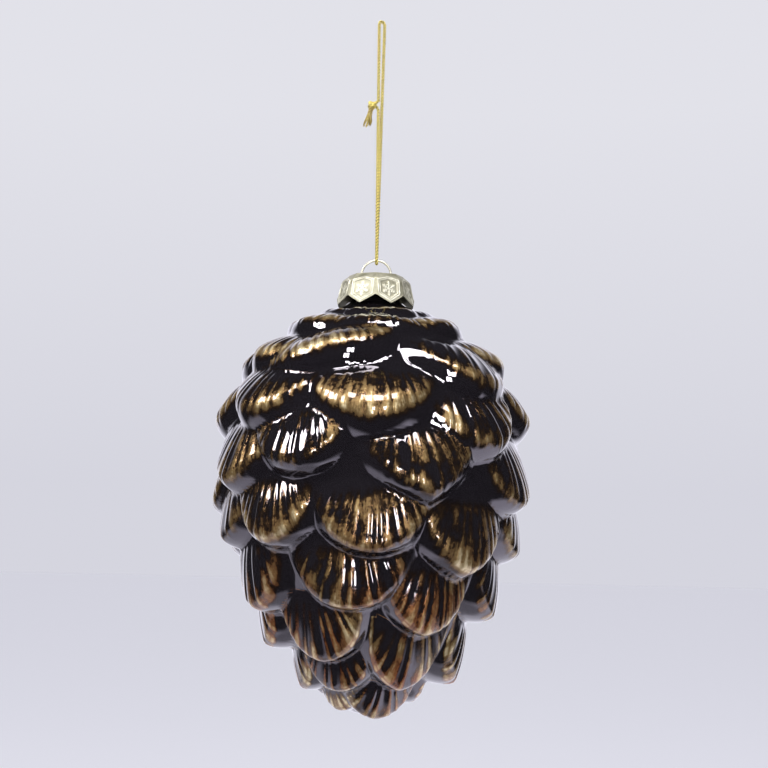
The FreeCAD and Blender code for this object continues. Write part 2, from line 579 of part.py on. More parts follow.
# ---------------------------------------------------------------- check and write
doc.recompute()
subparts = [glass, cap, wire, cord, knot, cut]
for item in doc.Objects:
    if "Invalid" in item.State or "Error" in item.State:
        raise RuntimeError("%s did not build: %s" % (item.Label, item.State))
for item in subparts:
    if item.Shape.isNull() or not item.Shape.isValid():
        raise RuntimeError("%s has no valid shape" % item.Label)
    if len(item.Shape.Solids) != 1:
        raise RuntimeError("%s has %d solids" % (item.Label, len(item.Shape.Solids)))
os.makedirs("parts", exist_ok=True)
for item in subparts:
    item.Shape.exportStep("parts/%s.step" % item.Label)
    box = item.Shape.BoundBox
    print("%-12s volume %10.2f  x %.2f..%.2f  y %.2f..%.2f  z %.2f..%.2f" % (
        item.Label, item.Shape.Volume, box.XMin, box.XMax, box.YMin, box.YMax, box.ZMin, box.ZMax))
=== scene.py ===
import math
import random

import bpy
import numpy as np
from mathutils import Matrix, Vector
from mathutils.geometry import delaunay_2d_cdt


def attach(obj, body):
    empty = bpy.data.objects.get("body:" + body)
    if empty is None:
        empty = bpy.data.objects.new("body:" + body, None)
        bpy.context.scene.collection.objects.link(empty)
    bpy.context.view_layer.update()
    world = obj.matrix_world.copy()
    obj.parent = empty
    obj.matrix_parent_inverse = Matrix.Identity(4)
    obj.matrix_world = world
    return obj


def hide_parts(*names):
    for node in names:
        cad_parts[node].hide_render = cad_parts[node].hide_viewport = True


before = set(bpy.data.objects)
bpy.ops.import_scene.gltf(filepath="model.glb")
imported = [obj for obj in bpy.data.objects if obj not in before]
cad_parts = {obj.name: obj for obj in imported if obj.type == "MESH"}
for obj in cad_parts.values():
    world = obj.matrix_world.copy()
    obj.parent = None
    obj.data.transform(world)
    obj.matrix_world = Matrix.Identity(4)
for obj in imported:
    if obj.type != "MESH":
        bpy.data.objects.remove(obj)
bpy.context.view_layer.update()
MM = 0.001

# ------------------------------------------------------------------ camera
# It stands at the height of the cone's middle, looks a little up, and is turned a little about its own line.
pitch, roll = math.radians(4.486), math.radians(1.3)
side, ahead, up = Vector((1, 0, 0)), Vector((0, math.cos(pitch), math.sin(pitch))), Vector((0, -math.sin(pitch), math.cos(pitch)))
right_ = side * math.cos(roll) + up * math.sin(roll)
top_ = up * math.cos(roll) - side * math.sin(roll)
camera = bpy.data.objects.new("camera", bpy.data.cameras.new("camera"))
bpy.context.scene.collection.objects.link(camera)
camera.matrix_world = Matrix(((right_.x, top_.x, -ahead.x, 0.00309),
                              (right_.y, top_.y, -ahead.y, -0.390),
                              (right_.z, top_.z, -ahead.z, -0.1417),
                              (0, 0, 0, 1)))
camera.data.sensor_width = 36.0
camera.data.lens = 60.94
camera.data.clip_start = 0.01
camera.data.clip_end = 50.0
bpy.context.scene.camera = camera


# ------------------------------------------------------------------ helpers
def mesh_object(name, verts, faces, smooth=True):
    mesh = bpy.data.meshes.new(name)
    mesh.from_pydata([tuple(v) for v in verts], [], faces)
    mesh.validate()
    mesh.update()
    obj = bpy.data.objects.new(name, mesh)
    bpy.context.scene.collection.objects.link(obj)
    if smooth:
        mesh.polygons.foreach_set("use_smooth", [True] * len(mesh.polygons))
    return obj


def attribute(obj, name, values):
    found = obj.data.attributes.new(name, "FLOAT", "POINT")
    found.data.foreach_set("value", np.asarray(values, np.float32))


def spline_path(points, per_span=24):
    """Points read from the NURBS spline that has these control points (millimetres), evenly spaced."""
    curve = bpy.data.curves.new("route", "CURVE")
    curve.dimensions = "3D"
    curve.resolution_u = per_span
    line = curve.splines.new("NURBS")
    line.points.add(len(points) - 1)
    for point, p in zip(line.points, points):
        point.co = (p[0] * MM, p[1] * MM, p[2] * MM, 1.0)
    line.order_u = 3
    line.use_endpoint_u = True
    holder = bpy.data.objects.new("route", curve)
    bpy.context.scene.collection.objects.link(holder)
    read = bpy.data.meshes.new_from_object(holder)
    path = np.array([v.co for v in read.vertices], float)
    bpy.data.objects.remove(holder)
    bpy.data.curves.remove(curve)
    bpy.data.meshes.remove(read)
    return path


def even(path, step):
    """The same line at equal steps of length."""
    gaps = np.linalg.norm(np.diff(path, axis=0), axis=1)
    run = np.concatenate([[0], np.cumsum(gaps)])
    count = max(3, int(round(run[-1] / step)))
    at = np.linspace(0, run[-1], count + 1)
    return np.stack([np.interp(at, run, path[:, k]) for k in range(3)], 1), at


def carried_frames(path):
    """Two cross directions at each point, turned as little as possible along the line."""
    ahead_ = np.gradient(path, axis=0)
    ahead_ /= np.linalg.norm(ahead_, axis=1)[:, None]
    first = np.cross(ahead_[0], (0.3, 1.0, 0.2))
    first /= np.linalg.norm(first)
    ones, twos = [first], [np.cross(ahead_[0], first)]
    for a in ahead_[1:]:
        one = ones[-1] - a * np.dot(ones[-1], a)
        one /= np.linalg.norm(one)
        ones.append(one)
        twos.append(np.cross(a, one))
    return ahead_, np.array(ones), np.array(twos)


def tube(path, radius, sides=8, phase=0.0):
    """A closed round tube along a line; radius is one number or one for each point."""
    _, one, two = carried_frames(path)
    radius = np.broadcast_to(np.asarray(radius, float), (len(path),))
    turn = np.arange(sides) * 2 * math.pi / sides + phase
    ring = one[:, None, :] * np.cos(turn)[None, :, None] + two[:, None, :] * np.sin(turn)[None, :, None]
    verts = (path[:, None, :] + ring * radius[:, None, None]).reshape(-1, 3)
    faces = []
    for j in range(len(path) - 1):
        a, b = j * sides, (j + 1) * sides
        for i in range(sides):
            k = (i + 1) % sides
            faces.append((a + i, a + k, b + k, b + i))
    n = len(verts)
    verts = np.concatenate([verts, path[[0, -1]]])
    for i in range(sides):
        k = (i + 1) % sides
        faces.append((n, k, i))
        faces.append((n + 1, n - sides + i, n - sides + k))
    return verts, faces


def gather(parts):
    """Several (verts, faces, values) put together in one mesh."""
    verts, faces, values, base = [], [], [], 0
    for v, f, value in parts:
        verts.append(v)
        faces += [tuple(i + base for i in face) for face in f]
        values.append(value)
        base += len(v)
    return np.concatenate(verts), faces, np.concatenate(values)


def twisted(path, radius, lay=1.9 * MM, step=0.14 * MM, sides=8, taper=None):
    """Two plies laid round each other along a line, as (verts, faces, run along each ply and how far in it lies)."""
    path, at = even(path, step)
    _, one, two = carried_frames(path)
    parts = []
    size = np.ones(len(path)) if taper is None else np.interp(at / at[-1], [0, 0.06, 0.94, 1], taper)
    for k in range(2):
        turn = 2 * math.pi * (at / lay + k / 2.0)
        off = one * np.cos(turn)[:, None] + two * np.sin(turn)[:, None]
        line = path + off * (0.55 * radius * size)[:, None]
        v, f = tube(line, 0.47 * radius * size, sides)
        home = np.concatenate([np.repeat(path, sides, 0), path[[0, -1]]])
        # how far out from the line each point lies; the cord finish paints the inner points dark, as painted shade
        # between the plies
        reach = np.linalg.norm(v - home, axis=1) / (1.02 * radius * np.concatenate([np.repeat(size, sides), size[[0, -1]]]))
        value = np.stack([np.concatenate([np.repeat(at, sides), at[[0, -1]]]), reach], 1)
        parts.append((v, f, value))
    return gather(parts)


# ------------------------------------------------------------------ cord, first of all
# The same route as the solid's, with one more point about 6 diameters from each turn. The points at the
# top bend and at the wire stand at even steps, so that the curve through them is close to a true arc.
cord_route = [
    (-0.556, -0.870, -24.5),
    (-0.764, -0.843, -5.8),
    (-0.820, -0.836, -1.12),
    (-0.834, -0.834, -0.157),
    (-0.352, -0.352, 0.525),
    (0.352, 0.352, 0.525),
    (0.834, 0.834, -0.157),
    (0.820, 0.836, -1.12),
    (0.764, 0.843, -5.8),
    (0.070, 0.931, -68.3),
    (0.009, 0.930, -73.26),
    (0.0, 0.930, -74.03),
    (0.0, 0.385, -74.575),
    (0.0, -0.385, -74.575),
    (0.0, -0.930, -74.03),
    (-0.009, -0.930, -73.26),
    (-0.070, -0.931, -68.3),
    (-0.523, -0.874, -27.5),
]
CORD_R = 0.525 * MM
cord_path = spline_path(cord_route)
verts, faces, run = twisted(cord_path, CORD_R)
cord_piece = mesh_object("cord_run", verts, faces)
attribute(cord_piece, "run", run[:, 0] / MM)
attribute(cord_piece, "reach", run[:, 1])
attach(cord_piece, "root")
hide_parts("hang_cord")

# The knot: each end turns in to the lump, wraps it, and leaves it below as a cut tail.
K = np.array((-2.19, -1.02, -26.0))
knot_lines = [
    [(1.634, 0.150, 1.5), (1.35, 0.05, 1.05), (0.35, -0.45, 0.55), (-0.75, -0.75, -0.15), (-1.35, -0.05, -0.45),
     (-0.95, 0.75, 0.15), (-0.1, 0.75, 0.75), (0.55, 0.1, 0.85), (0.45, -0.75, 0.1), (-0.1, -0.85, -0.75)],
    [(1.667, 0.146, -1.5), (1.45, 0.1, -0.95), (0.85, 0.25, 0.05), (0.15, 0.55, 0.75), (-0.75, 0.25, 1.05),
     (-1.15, -0.55, 0.55), (-0.55, -0.95, 0.0), (0.25, -0.55, -0.65), (0.15, 0.35, -0.85), (-0.55, 0.6, -0.75)],
]
parts = []
for line in knot_lines:
    path = spline_path([K + np.array(p) for p in line], 12)
    parts.append(twisted(path, 0.50 * MM, lay=1.9 * MM, step=0.12 * MM, sides=8))
verts, faces, run = gather(parts)
knot_piece = mesh_object("cord_tied_knot", verts, faces)
attribute(knot_piece, "run", run[:, 0] / MM)
attribute(knot_piece, "reach", run[:, 1])
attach(knot_piece, "root")
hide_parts("cord_knot")

dice = random.Random(11)
parts = []
for start, stop, count in (((-0.75, -0.40, -0.45), (-2.35, -0.55, -7.0), 11),
                           ((-0.30, 0.20, -0.60), (-1.10, 0.65, -6.2), 9)):
    start, stop = K + np.array(start), K + np.array(stop)
    whole = stop - start
    neck = start + whole * 0.42
    path = spline_path([start, start + whole * 0.2 + (0.12, 0, 0), neck], 10)
    parts.append(twisted(path, 0.47 * MM, lay=1.9 * MM, step=0.12 * MM, sides=8, taper=(1, 1, 0.9, 0.7)))
    for n in range(count):
        turn = 2 * math.pi * n / count + dice.uniform(-0.3, 0.3)
        spread = dice.uniform(0.35, 1.0) * 0.85
        out = np.array((math.cos(turn), math.sin(turn) * 0.8, 0)) * spread
        length = dice.uniform(0.72, 1.04)
        curl = np.array((dice.uniform(-0.35, 0.35), dice.uniform(-0.25, 0.25), 0))
        a = start + whole * 0.34 + out * 0.25
        b = start + whole * 0.60 + out * 0.55
        c = start + whole * (0.34 + 0.66 * length * 0.75) + out + curl * 0.5
        d = start + whole * (0.34 + 0.66 * length) + out * 0.9 + curl
        path, at = even(spline_path([a, b, c, d], 10), 0.25 * MM)
        size = np.interp(at / at[-1], [0, 0.7, 1], [0.17, 0.15, 0.07]) * MM
        v, f = tube(path, size, 5)
        threads = np.concatenate([np.repeat(at, 5), at[[0, -1]]]) + 7 * n * MM
        parts.append((v, f, np.stack([threads, np.full(len(threads), dice.uniform(0.6, 1.0))], 1)))
verts, faces, run = gather(parts)
tail_piece = mesh_object("cord_frayed_tails", verts, faces)
attribute(tail_piece, "run", run[:, 0] / MM)
attribute(tail_piece, "reach", run[:, 1])
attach(tail_piece, "root")
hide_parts("cord_tails")

# ------------------------------------------------------------------ glass: the same relief as the solid's
CORE = [(7.0, -78.9), (7.0, -82.0), (7.0, -85.0), (7.8, -86.8), (9.6, -88.0), (12.4, -89.0), (16.2, -90.9),
        (21.4, -94.2), (27.2, -99.4), (32.2, -104.6), (35.8, -109.8), (38.6, -115.0), (40.4, -121.0),
        (41.4, -128.0), (41.5, -136.0), (40.9, -144.0), (39.3, -152.0), (37.0, -160.0), (34.0, -168.0),
        (30.2, -176.0), (25.6, -184.0), (20.8, -191.5), (15.8, -198.0), (11.2, -203.0), (7.0, -206.6),
        (3.4, -208.3), (0.0, -208.8)]
SCALES = [
    (22, -93.2, 8.0, 1.0, 8.0, 1.9, 0, 3.5, 1.6),
    (-14, -92.6, 6.5, 0.8, 6.0, 1.3, 0, 3.0, 1.6),
    (-50, -92.8, 7.0, 0.8, 6.5, 1.4, 0, 3.0, 1.5),
    (64, -92.8, 7.0, 0.8, 6.5, 1.4, 0, 3.0, 1.6),
    (104, -92.5, 6.5, 0.8, 6.0, 1.3, 0, 3.0, 1.5),
    (142, -93.0, 7.0, 0.8, 6.5, 1.5, 0, 3.0, 1.6),
    (180, -92.6, 6.5, 0.8, 6.0, 1.3, 0, 3.0, 1.5),
    (-142, -93.0, 7.0, 0.8, 6.5, 1.5, 0, 3.0, 1.6),
    (-98, -92.6, 7.0, 0.8, 6.0, 1.3, 0, 3.0, 1.5),
    (4, -100.0, 18.5, 3.0, 12.0, 4.4, -3, 6.0, 2.0),
    (-50, -99.4, 14.0, 3.5, 12.0, 4.4, 0, 5.0, 1.6),
    (56, -99.8, 14.0, 3.5, 12.0, 4.4, 0, 5.0, 1.9),
    (98, -97.8, 14.0, 3.5, 12.0, 4.4, 0, 5.0, 1.4),
    (146, -99.0, 14.0, 3.5, 12.0, 4.4, 0, 5.0, 1.5),
    (-152, -98.0, 14.5, 3.5, 12.0, 4.4, 0, 5.0, 1.8),
    (-100, -98.8, 14.0, 3.5, 12.0, 4.4, 0, 5.0, 1.6),
    (-20, -111.4, 21.5, 5.0, 19.0, 7.4, 17, 8.0, 1.9),
    (43, -120.5, 18.5, 8.0, 25.0, 7.8, -12, 7.0, 1.5),
    (76, -113.5, 15.5, 7.0, 20.0, 7.2, 0, 8.5, 1.5),
    (-62, -112.5, 16.0, 6.5, 19.0, 7.0, -4, 8.5, 1.8),
    (110, -114.5, 17.0, 7.0, 21.0, 7.2, 0, 8.5, 1.6),
    (150, -112.0, 16.5, 7.0, 19.0, 7.0, 5, 8.5, 1.9),
    (-166, -114.5, 17.0, 7.0, 21.0, 7.2, -4, 8.5, 1.4),
    (-130, -111.5, 16.5, 7.0, 19.0, 7.0, 6, 8.5, 1.5),
    (-97, -115.0, 16.0, 7.0, 21.0, 7.0, 0, 8.5, 1.8),
    (0, -130.6, 20.0, 8.5, 23.0, 8.6, 0, 10.5, 1.7),
    (-50, -129.0, 18.0, 8.0, 23.0, 8.2, -6, 9.0, 1.9),
    (50, -136.0, 18.0, 9.0, 24.0, 8.4, 10, 8.5, 1.6),
    (-92, -131.0, 16.5, 8.0, 22.0, 8.0, 0, 8.0, 1.5),
    (90, -130.0, 16.5, 8.0, 22.0, 8.0, 0, 8.0, 1.8),
    (130, -128.5, 18.0, 8.0, 22.0, 8.0, 5, 8.0, 1.6),
    (172, -130.5, 18.0, 8.0, 22.0, 8.2, -5, 8.0, 1.9),
    (-137, -127.5, 18.0, 8.0, 22.0, 8.0, 4, 8.0, 1.4),
    (-27, -141.0, 16.5, 8.5, 22.0, 8.4, 3, 7.0, 1.9),
    (22, -147.8, 18.0, 10.5, 24.0, 8.6, 6, 7.0, 1.3),
    (-61, -146.0, 16.5, 8.5, 23.0, 8.4, -4, 7.0, 1.6),
    (68, -150.5, 16.0, 8.5, 24.0, 8.8, 6, 7.0, 1.9),
    (110, -146.5, 17.5, 8.5, 23.0, 8.4, -4, 7.0, 1.4),
    (152, -149.0, 18.0, 8.5, 24.0, 8.4, 4, 7.0, 1.5),
    (-166, -146.0, 17.5, 8.5, 23.0, 8.4, 5, 7.0, 1.8),
    (-126, -148.0, 17.0, 8.5, 24.0, 8.4, -4, 7.0, 1.6),
    (-92, -153.5, 15.5, 8.5, 23.0, 8.4, 4, 7.0, 1.9),
    (1, -161.5, 17.5, 8.0, 22.5, 8.4, 0, 6.5, 1.9),
    (-39, -160.5, 16.0, 8.5, 23.0, 8.4, 3, 7.5, 1.9),
    (39, -167.5, 16.5, 8.5, 26.0, 8.8, -6, 7.0, 1.4),
    (-73, -161.5, 14.5, 8.0, 22.0, 8.0, 0, 7.0, 1.6),
    (84, -164.5, 16.0, 8.0, 23.0, 8.4, 4, 7.0, 1.9),
    (125, -162.0, 16.5, 8.0, 23.0, 8.2, -4, 7.0, 1.4),
    (168, -165.0, 16.5, 8.0, 24.0, 8.2, 4, 7.0, 1.5),
    (-149, -162.0, 16.0, 8.0, 23.0, 8.2, 5, 7.0, 1.8),
    (-110, -166.5, 15.5, 8.0, 23.0, 8.2, -4, 7.0, 1.6),
    (-8, -175.6, 17.5, 8.5, 21.5, 7.8, 0, 5.5, 2.2),
    (-60, -178.5, 15.0, 8.0, 25.0, 7.8, 3, 6.5, 1.7),
    (29, -182.8, 14.0, 8.0, 24.0, 7.6, -3, 6.0, 1.7),
    (76, -180.5, 15.0, 8.0, 24.0, 9.0, -3, 6.5, 1.8),
    (120, -182.5, 14.0, 8.0, 24.0, 7.8, 4, 6.5, 1.6),
    (162, -179.5, 14.5, 8.0, 24.0, 7.8, -4, 6.5, 1.9),
    (-154, -182.5, 14.0, 8.0, 24.0, 7.8, 3, 6.5, 1.4),
    (-110, -181.5, 14.0, 8.0, 23.0, 8.0, 5, 6.5, 1.5),
    (-23, -190.6, 14.0, 8.0, 23.0, 7.2, 7, 5.5, 1.8),
    (25, -198.6, 13.0, 8.5, 24.0, 7.0, -4, 6.0, 1.5),
    (-80, -189.5, 13.0, 7.0, 21.0, 7.6, 3, 6.0, 1.9),
    (82, -198.0, 13.0, 7.0, 24.0, 9.2, -3, 6.0, 1.4),
    (132, -192.5, 13.5, 7.0, 21.0, 7.2, 3, 6.0, 1.5),
    (-176, -196.5, 12.5, 7.0, 21.0, 6.8, -3, 6.0, 1.8),
    (-130, -193.5, 12.5, 7.0, 21.0, 7.0, 4, 6.0, 1.6),
    (-24, -199.8, 11.0, 4.5, 14.0, 5.2, 2, 5.0, 1.9),
    (18, -207.4, 11.0, 4.0, 15.0, 4.2, 0, 3.6, 1.4),
    (-76, -201.0, 10.5, 4.5, 15.0, 5.8, 0, 5.0, 1.5),
    (-128, -204.0, 9.5, 4.5, 14.0, 4.8, 0, 3.6, 1.8),
    (112, -205.0, 10.5, 4.5, 14.0, 4.8, 0, 3.6, 1.6),
    (168, -204.0, 9.5, 4.5, 14.0, 4.6, 0, 3.6, 1.9),
    (-46, -206.4, 7.5, 2.0, 9.0, 3.2, 0, 3.2, 1.4),
    (170, -208.3, 6.0, 1.0, 9.0, 2.4, 0, 3.0, 1.5),
]
LIP_POWER, FACE_POWER, CROWN, BLEND, WALL = 1.55, 1.5, 0.55, 0.8, 1.0


def core_line(points, step=0.5):
    ends = [(points[0][0], points[0][1] + 3.0)] + points + [(-points[-2][0], points[-2][1])]
    ends = np.array(ends)
    fine = []
    for i in range(1, len(ends) - 2):
        a, b, c, d = ends[i - 1:i + 3]
        for k in range(12):
            t = k / 12.0
            fine.append(0.5 * (2 * b + (c - a) * t + (2 * a - 5 * b + 4 * c - d) * t * t + (3 * b - a - 3 * c + d) * t ** 3))
    fine.append(ends[-2])
    fine = np.array(fine)
    run_ = np.concatenate([[0], np.cumsum(np.linalg.norm(np.diff(fine, axis=0), axis=1))])
    count = int(round(run_[-1] / step))
    at = np.linspace(0, run_[-1], count + 1)
    return at, np.interp(at, run_, fine[:, 0]), np.interp(at, run_, fine[:, 1])


LINE_S, LINE_R, LINE_Z = core_line(CORE)
LENGTH = LINE_S[-1]


def core_at(s):
    return np.interp(s, LINE_S, LINE_R), np.interp(s, LINE_S, LINE_Z)


def core_down(s):
    r0, z0 = core_at(np.maximum(0.0, s - 0.8))
    r1, z1 = core_at(np.minimum(LENGTH, s + 0.8))
    run_ = np.hypot(r1 - r0, z1 - z0)
    return (r1 - r0) / run_, (z1 - z0) / run_


def run_at_height(z):
    return float(np.interp(-z, -LINE_Z, LINE_S))


def relief(theta, s, extras=False):
    """Height of the scales above the core. With extras, also what the finish needs to know at each point."""
    radius = core_at(s)[0]
    best = np.zeros(theta.shape)
    lead = np.zeros(theta.shape)
    far = np.zeros(theta.shape)
    cross = np.zeros(theta.shape)
    along = np.zeros(theta.shape)
    which = np.full(theta.shape, -1)
    for n, (azimuth, lip, wide, rise, long_, tall, turned, round_, point) in enumerate(SCALES):
        s_lip = run_at_height(lip)
        lean = float(core_down(np.array(s_lip))[0])
        d = theta - math.radians(azimuth)
        cos_d = np.cos(d)
        a0 = radius * np.sin(d)
        b0 = (s_lip - s) + radius * (1.0 - cos_d) * lean
        near = (cos_d > 0.0) & (b0 > -9.0) & (b0 < long_ + 9.0) & (np.abs(a0) < 1.9 * wide)
        if not near.any():
            continue
        ca, sa = math.cos(math.radians(turned)), math.sin(math.radians(turned))
        a0, b0 = a0[near], b0[near]
        a, b = a0 * ca + b0 * sa, b0 * ca - a0 * sa
        u = np.abs(a) / wide
        edge = rise * u ** point + 4.0 * u ** 6
        slope = (point * rise * u ** (point - 1.0) + 24.0 * u ** 5) / wide
        inside = (b - edge) / np.sqrt(1.0 + slope * slope)
        lip_part = 1.0 - np.clip(1.0 - inside / round_, 0, 1) ** LIP_POWER
        face_part = 1.0 - np.clip(b / long_, 0, 1) ** FACE_POWER
        height = tall * lip_part * face_part * (1.0 - CROWN * u * u)
        height = np.where((u < 1.4) & (b < long_) & (inside > 0), np.maximum(height, 0), 0)
        old = best[near]
        gap = np.abs(height - old)
        small = np.minimum(height, old)
        new = np.maximum(height, old) + np.where(gap < BLEND, (BLEND - gap) ** 2 / (4 * BLEND), 0) * np.clip(small / BLEND, 0, 1)
        best[near] = np.where(height > 0, new, old)
        if extras:
            ahead_ = height > lead[near]
            for field, value in ((lead, height), (far, inside), (cross, a), (along, b), (which, n)):
                field[near] = np.where(ahead_, value, field[near])
    if extras:
        return best, far, cross, along, which
    return best


def fade(s):
    return np.clip((s - 11.0) / 3.0, 0, 1) * np.clip((LENGTH - 2.2 - s) / 2.5, 0, 1)


def place(theta, s, height):
    radius, z = core_at(s)
    down_r, down_z = core_down(s)
    out = radius - height * down_z
    return np.stack([out * np.sin(theta), -out * np.cos(theta), z + height * down_r], -1)


AROUND, DOWN = 568, 154
END = LENGTH - 1.6
angles = np.arange(AROUND) * 2 * math.pi / AROUND
probe = np.linspace(0, END, 500)
TH, SS = np.meshgrid(angles, probe)
height = relief(TH, SS) * fade(SS)
# rows lie closer where the surface is steep, so that the lips get as fine a mesh as the faces
steep = np.hypot(1.0, 1.15 * np.gradient(height, probe, axis=0))
wide_ = 7
steep = sum(np.roll(steep, k, 1) for k in range(-wide_, wide_ + 1)) / (2 * wide_ + 1)
total = np.concatenate([np.zeros((1, AROUND)), np.cumsum(0.5 * (steep[1:] + steep[:-1]), 0)])
total /= total[-1]
rows = np.linspace(0, 1, DOWN)
SS = np.stack([np.interp(rows, total[:, i], probe) for i in range(AROUND)], 1)
TH = np.repeat(angles[None, :], DOWN, 0)
height, far, cross, along, which = relief(TH, SS, True)
held = fade(SS)
height *= held

# lengthwise ribs on each face: irregular, about 3.6 mm apart, spreading from the root and fading to the lip
shift = np.array([random.Random(100 + n).random() for n in range(len(SCALES) + 1)])
pitch_ = np.array([random.Random(300 + n).uniform(3.1, 4.2) for n in range(len(SCALES) + 1)])
longs = np.array([row[4] for row in SCALES] + [20.0])
fan = cross / (1.0 - 0.42 * np.clip(along / longs[which], 0, 1) ** 1.3)
phase = fan / pitch_[which] + shift[which] + 0.16 * np.sin(fan * 0.9 + 9 * shift[which]) + 0.05 * np.sin(along * 0.35)
rib = 0.5 + 0.5 * np.cos(2 * math.pi * phase)
on_scale = (which >= 0) & (height > 0.4)
lips = np.array([row[7] for row in SCALES] + [5.0])
bare = 0.42 * lips[which] + 0.3
widths = np.array([row[2] for row in SCALES] + [10.0])
talls = np.array([row[5] for row in SCALES] + [5.0])
sideways = np.clip((1.06 - np.abs(cross) / widths[which]) / 0.34, 0, 1)
face = np.where(on_scale, np.clip((far - bare) / 2.4, 0, 1) * np.clip((height / talls[which] - 0.11) / 0.27, 0, 1) * sideways, 0)
face = face * face * (3 - 2 * face)
deep = np.array([random.Random(700 + n).uniform(0.14, 0.42) for n in range(len(SCALES) + 1)])
height = height + deep[which] * (rib - 0.35) * face * held
points = place(TH, SS, height)

INNER_AROUND, INNER_DOWN = AROUND // 4, 40
angles_in = angles[::4]
s_in = np.linspace(0, END, INNER_DOWN)
TI, SI = np.meshgrid(angles_in, s_in)
inner = relief(TI, SI) * fade(SI)
reach = np.maximum(core_at(SI)[0], 2.0)
for ds, da in ((0.9, 0), (-0.9, 0), (0, 0.9), (0, -0.9), (0.65, 0.65), (0.65, -0.65), (-0.65, 0.65), (-0.65, -0.65)):
    s2 = np.clip(SI + ds, 0, LENGTH)
    inner = np.minimum(inner, relief(TI + da / reach, s2) * fade(s2))
inner_points = place(TI, SI, inner - WALL)

verts = [points.reshape(-1, 3), inner_points.reshape(-1, 3)]
faces = []
for j in range(DOWN - 1):
    for i in range(AROUND):
        k = (i + 1) % AROUND
        a, b, c, d = j * AROUND + i, j * AROUND + k, (j + 1) * AROUND + k, (j + 1) * AROUND + i
        faces.append((a, d, c, b))
base = DOWN * AROUND
for j in range(INNER_DOWN - 1):
    for i in range(INNER_AROUND):
        k = (i + 1) % INNER_AROUND
        a, b = base + j * INNER_AROUND + i, base + j * INNER_AROUND + k
        faces.append((a, b, b + INNER_AROUND, a + INNER_AROUND))
for i in range(INNER_AROUND):
    k = (i + 1) % INNER_AROUND
    ring = [(4 * i + m) % AROUND for m in range(5)]
    faces.append(tuple([base + i] + ring + [base + k]))
low = np.array([[0, 0, points[-1, :, 2].mean() - 0.05], [0, 0, inner_points[-1, :, 2].mean()]])
tip = base + INNER_DOWN * INNER_AROUND
verts.append(low)
last = (DOWN - 1) * AROUND
for i in range(AROUND):
    faces.append((last + i, tip, last + (i + 1) % AROUND))
last = base + (INNER_DOWN - 1) * INNER_AROUND
for i in range(INNER_AROUND):
    faces.append((last + i, last + (i + 1) % INNER_AROUND, tip + 1))
glass_piece = mesh_object("glass_cone", np.concatenate(verts) * MM, faces)
spare = INNER_DOWN * INNER_AROUND + 2


def spread(values, rest=0.0):
    return np.concatenate([np.asarray(values, float).reshape(-1), np.full(spare, rest)])


attribute(glass_piece, "lip", spread((far - bare) * held))
attribute(glass_piece, "across", spread(fan))
attribute(glass_piece, "along", spread(along))
attribute(glass_piece, "rib", spread(rib))
attribute(glass_piece, "face", spread(face * held))
attribute(glass_piece, "seed", spread(shift[which]))
attribute(glass_piece, "low", spread(np.clip((-points[..., 2] - 95.0) / 115.0, 0, 1)))
# how much gold each scale kept: some were rubbed almost bare
GOLD = {(22, -93.2): 0.20, (-14, -92.6): 0.10, (4, -100.0): -0.26, (-20, -111.4): 0.08, (43, -120.5): -0.22, (0, -130.6): 0.02, (-50, -129.0): -0.20,
        (50, -136.0): 0.05, (-27, -141.0): -0.16, (22, -147.8): -0.10, (1, -161.5): -0.02, (-39, -160.5): 0.08,
        (39, -167.5): 0.08, (-61, -146.0): -0.04, (68, -150.5): -0.12, (-8, -175.6): -0.04, (-23, -190.6): 0.02,
        (29, -182.8): 0.06, (25, -198.6): 0.06, (-24, -199.8): -0.25}
kept = np.array([GOLD.get((row[0], row[1]), random.Random(500 + n).uniform(-0.10, 0.10)) for n, row in enumerate(SCALES)] + [0.0])
attribute(glass_piece, "kept", spread(kept[which]))
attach(glass_piece, "root")
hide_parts("glass_body")

# ------------------------------------------------------------------ cap: one thin stamped sheet
CAP_TOP, SHEET = -78.5, 0.4
LEVELS = [(8.0, 0.0), (10.4, 1.8), (11.7, 6.9), (13.2, 9.55)]
NOTCH_DROP, TIP_DROP = 6.9, 9.55
PETAL, STEPS = 44, 46
SIDE = math.cos(math.radians(22.5))


def profile(drop, inset=0.0):
    """Corner radius of the octagon at a depth below the top, softened where the sheet bends."""
    drops, radii = [l[1] for l in LEVELS], [l[0] for l in LEVELS]
    return sum(np.interp(drop + k * 0.12, drops, radii) for k in (-2, -1, 0, 1, 2)) / 5.0 - inset


